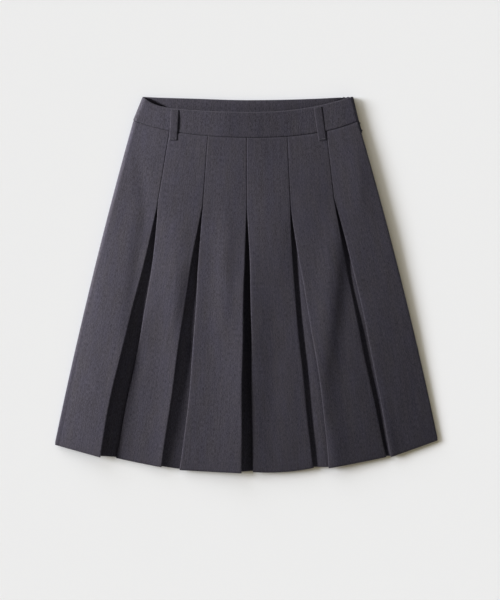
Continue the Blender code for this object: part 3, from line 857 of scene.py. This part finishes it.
def threads(centres, along, half_length, radius):
    """Points and faces of stitches: spindles along a direction, whose radius is a half ellipse.

    Each has rings of points at equal angles, and a pole beyond its first and its last ring.
    """
    along = np.broadcast_to(unit(np.array(along, float)), centres.shape)
    side = unit(np.cross(along, (0.0, 0.0, 1.0)))
    rise = np.cross(side, along)
    ring = np.radians(np.linspace(*RING_DEGREES, RINGS))
    turn = np.radians(np.arange(RING_POINTS) * 360 / RING_POINTS)
    ring, turn = (grid.ravel() for grid in np.meshgrid(ring, turn, indexing="ij"))
    local = np.stack([half_length * np.cos(ring), radius * np.sin(ring) * np.cos(turn),
                      radius * np.sin(ring) * np.sin(turn)])
    local = np.hstack([local, [[half_length, -half_length], [0, 0], [0, 0]]])
    points = (centres[:, None] + local[0][None, :, None] * along[:, None]
              + local[1][None, :, None] * side[:, None] + local[2][None, :, None] * rise[:, None])
    pole = RINGS * RING_POINTS
    first = np.arange(pole).reshape(RINGS, RING_POINTS)
    after = np.roll(first, -1, axis=1)
    quads = np.stack([first[:-1], after[:-1], after[1:], first[1:]], axis=-1).reshape(-1, 4)
    caps = np.concatenate([np.stack([0 * first[0] + pole, after[0], first[0]], axis=-1),
                           np.stack([0 * first[0] + pole + 1, first[-1], after[-1]], axis=-1)])
    starts = (pole + 2) * np.arange(len(centres))[:, None, None]
    return (points.reshape(-1, 3),
            (quads + starts).reshape(-1, 4).tolist() + (caps + starts).reshape(-1, 3).tolist())


tacks = []
for grid in front_loop_grids.values():
    run = grid[-1, LOOP_COLUMNS // 2] - grid[0, LOOP_COLUMNS // 2]
    length = np.linalg.norm(run)
    for share in (TACK_ENDS[0] / length, 1 - TACK_ENDS[1] / length):
        row = share * (len(grid) - 1)
        low = int(row)
        line = blend(grid[low], grid[low + 1], row - low)
        columns = np.linspace(TACK_INSET, LOOP_COLUMNS - 1 - TACK_INSET, TACK_STITCHES)
        centres = np.stack([np.interp(columns, np.arange(LOOP_COLUMNS), line[:, axis])
                            for axis in range(3)], axis=1)
        centres[:, 2] += LOOP / 2 + TACK_THREAD / 3
        tacks.append(threads(centres, run, TACK_HALF, TACK_THREAD))
for below in SIDE_TACKS:
    around = side_strip(np.array([below]), BAND / 2 + ROUND_GAP + LOOP + SIDE_THREAD / 2, 0.0,
                        SIDE_TACK_TURNS)[0, :sum(turn[2] for turn in SIDE_TACK_TURNS)]
    tacks.append(threads(around, (0.0, 1.0, 0.0), 2 * TACK_HALF, SIDE_THREAD))

points, faces = [], []
for tack_points, tack_faces in tacks:
    start = sum(len(group) for group in points)
    faces += [[corner + start for corner in face] for face in tack_faces]
    points.append(tack_points)
tack_mesh = bpy.data.meshes.new("loop_tacks")
tack_mesh.from_pydata(np.vstack(points).tolist(), [], faces)
tack_mesh.shade_smooth()
loop_tacks = in_scene("loop_tacks", tack_mesh)

# The stitches have no UV map, so their twist follows Object coordinates
thread = Suiting("tack_thread")
coordinates = thread.new("ShaderNodeTexCoord")
thread.uv = coordinates.outputs["Object"]
twist = thread.noise(across=0.0006, along=0.0003, detail=1.0, turn=0.6)
thread_colour = thread.mix(thread.vary(0.5, [(twist, 2.0)]), THREAD_DARK, THREAD_PALE)
thread.link(thread_colour, thread.shader.inputs["Base Color"])
thread.shader.inputs["Roughness"].default_value = 0.6
tack_mesh.materials.append(thread.material)
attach(loop_tacks, "root")

# ---------------------------------------------------------------------------------------------
# Concealed zip: two woven polyester tapes inside the right-hand side seam, closed, from the
# waistband down past the hip.

TAPE = 0.0010
TAPE_GAP = 0.0004           # between the tapes and the waistband that covers them
TAPE_INWARD = 0.0060        # how far each tape lies flat inside
ZIP_ENDS = (0.90, -0.150)   # a share of the waistband, and metres below its seam
ZIP_TURNS = ((90, 0, 10), (0, 90, 10))
TAPE_BLUE, TAPE_GREY = (0.030, 0.028, 0.034), (0.029, 0.027, 0.032)
TAPE_STRENGTH = 0.5         # its weave is plainer than the suiting's

zip_weave = suiting_material("zip_tape", TAPE_BLUE, TAPE_GREY, TAPE_STRENGTH)
zip_rows = rows_through((ZIP_ENDS[0], 0, 12), (0, ZIP_ENDS[1], 24))
zip_grid = side_strip(zip_rows, -(BAND / 2 + TAPE_GAP + TAPE / 2), TAPE_INWARD, ZIP_TURNS)
zip_tapes = cloth_shell("zip_tapes", zip_grid, TAPE / 2, TAPE / 2, zip_weave)
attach(zip_tapes, "root")
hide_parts("side_zip")

# ---------------------------------------------------------------------------------------------
# Table, light and camera: a plain pale table top without an edge in view, and a camera straight
# above with a long lens. A small low key from the left, a weak light from the right and one from
# below the hem reach only the cloth. Broad suns reach only the table, so its shadows are softer.

TABLE_RADIANCE = 0.841      # what the camera sees past the table's far edge
TABLE_COLOUR = 0.80
TABLE_HALF = 60.0           # half its side
WORLD_FILL = 0.090
LIGHT_DISTANCE = 1.45       # from the middle of the skirt
WHITE, COOL, WARM = (1, 1, 1), (0.955, 1.000, 1.105), (1.18, 1.00, 0.57)
LIGHTS = (
    # name, kind, what it reaches, the way it travels on the plan, degrees above the table, its
    # width (a sun's in degrees), power, colour
    ("key_on_cloth", "AREA", "cloth", (0.92, -0.39), 18.0, 0.15, 42.0, WHITE),
    ("key_on_table", "SUN", "table", (0.97, -0.22), 31.0, 29, 3.62, COOL),
    ("broad_on_table", "SUN", "table", (0.58, -0.81), 22.0, 42, 1.45, COOL),
    ("overhead_on_table", "SUN", "table", (0.97, -0.22), 89.0, 150, 0.62, WARM),
    ("weak_on_cloth", "SUN", "cloth", (-1.0, -0.1), 24.0, 40, 0.44, WHITE),
    ("low_on_hem", "SUN", "cloth", (0.15, 1.0), 5.0, 8, 0.60, WHITE),
)

corners = [(x * TABLE_HALF, y * TABLE_HALF, 0) for x, y in ((-1, -1), (1, -1), (1, 1), (-1, 1))]
table_mesh = bpy.data.meshes.new("table_top")
table_mesh.from_pydata(corners, [], [(0, 1, 2, 3)])
table_paint = bpy.data.materials.new("table_top")
table_paint.use_nodes = True
shader = table_paint.node_tree.nodes["Principled BSDF"]
shader.inputs["Base Color"].default_value = (TABLE_COLOUR, TABLE_COLOUR, TABLE_COLOUR, 1)
shader.inputs["Roughness"].default_value = 1.0
shader.inputs["Specular IOR Level"].default_value = 0.0
table_mesh.materials.append(table_paint)
table = in_scene("table_top", table_mesh)

# A light reaches either all of the cloth or the table
reached = {name: bpy.data.collections.new(name) for name in ("cloth", "table")}
for piece in list(bpy.context.scene.objects):
    if piece.type == "MESH":
        reached["table" if piece == table else "cloth"].objects.link(piece)

for name, kind, reaches, travels, degrees, width, power, colour in LIGHTS:
    rise = np.radians(degrees)
    ahead = Vector((*travels, 0)).normalized() * np.cos(rise)
    ahead.z = -np.sin(rise)
    data = bpy.data.lights.new(name, kind)
    data.color = colour
    data.energy = power
    if kind == "AREA":
        data.shape = "DISK"
        data.size = width
    else:
        data.angle = np.radians(width)
    lamp = in_scene(name, data)
    lamp.rotation_euler = ahead.to_track_quat("-Z", "Y").to_euler()
    lamp.location = -LIGHT_DISTANCE * ahead
    lamp.light_linking.receiver_collection = reached[reaches]
    lamp.visible_camera = False

# The world lights everything evenly, and the camera alone sees it in the table's own shade
world = bpy.data.worlds.new("studio")
bpy.context.scene.world = world
world.use_nodes = True
nodes, links = world.node_tree.nodes, world.node_tree.links
ambient = nodes["Background"]
ambient.inputs["Color"].default_value = (WORLD_FILL, WORLD_FILL, WORLD_FILL, 1)
backdrop = nodes.new("ShaderNodeBackground")
backdrop.inputs["Color"].default_value = (TABLE_RADIANCE, TABLE_RADIANCE, TABLE_RADIANCE, 1)
path = nodes.new("ShaderNodeLightPath")
choice = nodes.new("ShaderNodeMixShader")
links.new(path.outputs["Is Camera Ray"], choice.inputs[0])
links.new(ambient.outputs[0], choice.inputs[1])
links.new(backdrop.outputs[0], choice.inputs[2])
links.new(choice.outputs[0], nodes["World Output"].inputs["Surface"])

VIEW_HEIGHT = 0.990         # of the table, from the picture's bottom to its top
VIEW_CENTRE = (0.0057, -0.0250)
CAMERA_HEIGHT = 4.0
SENSOR = 36.0               # in millimetres, as its lens is

camera_data = bpy.data.cameras.new("above")
camera_data.sensor_width = SENSOR
camera_data.lens = SENSOR * CAMERA_HEIGHT / VIEW_HEIGHT
camera_data.clip_end = 5 * TABLE_HALF
camera = in_scene("above", camera_data)
camera.location = (*VIEW_CENTRE, CAMERA_HEIGHT)
bpy.context.scene.camera = camera
bpy.context.scene.view_settings.view_transform = "Standard"

bpy.context.view_layer.update()
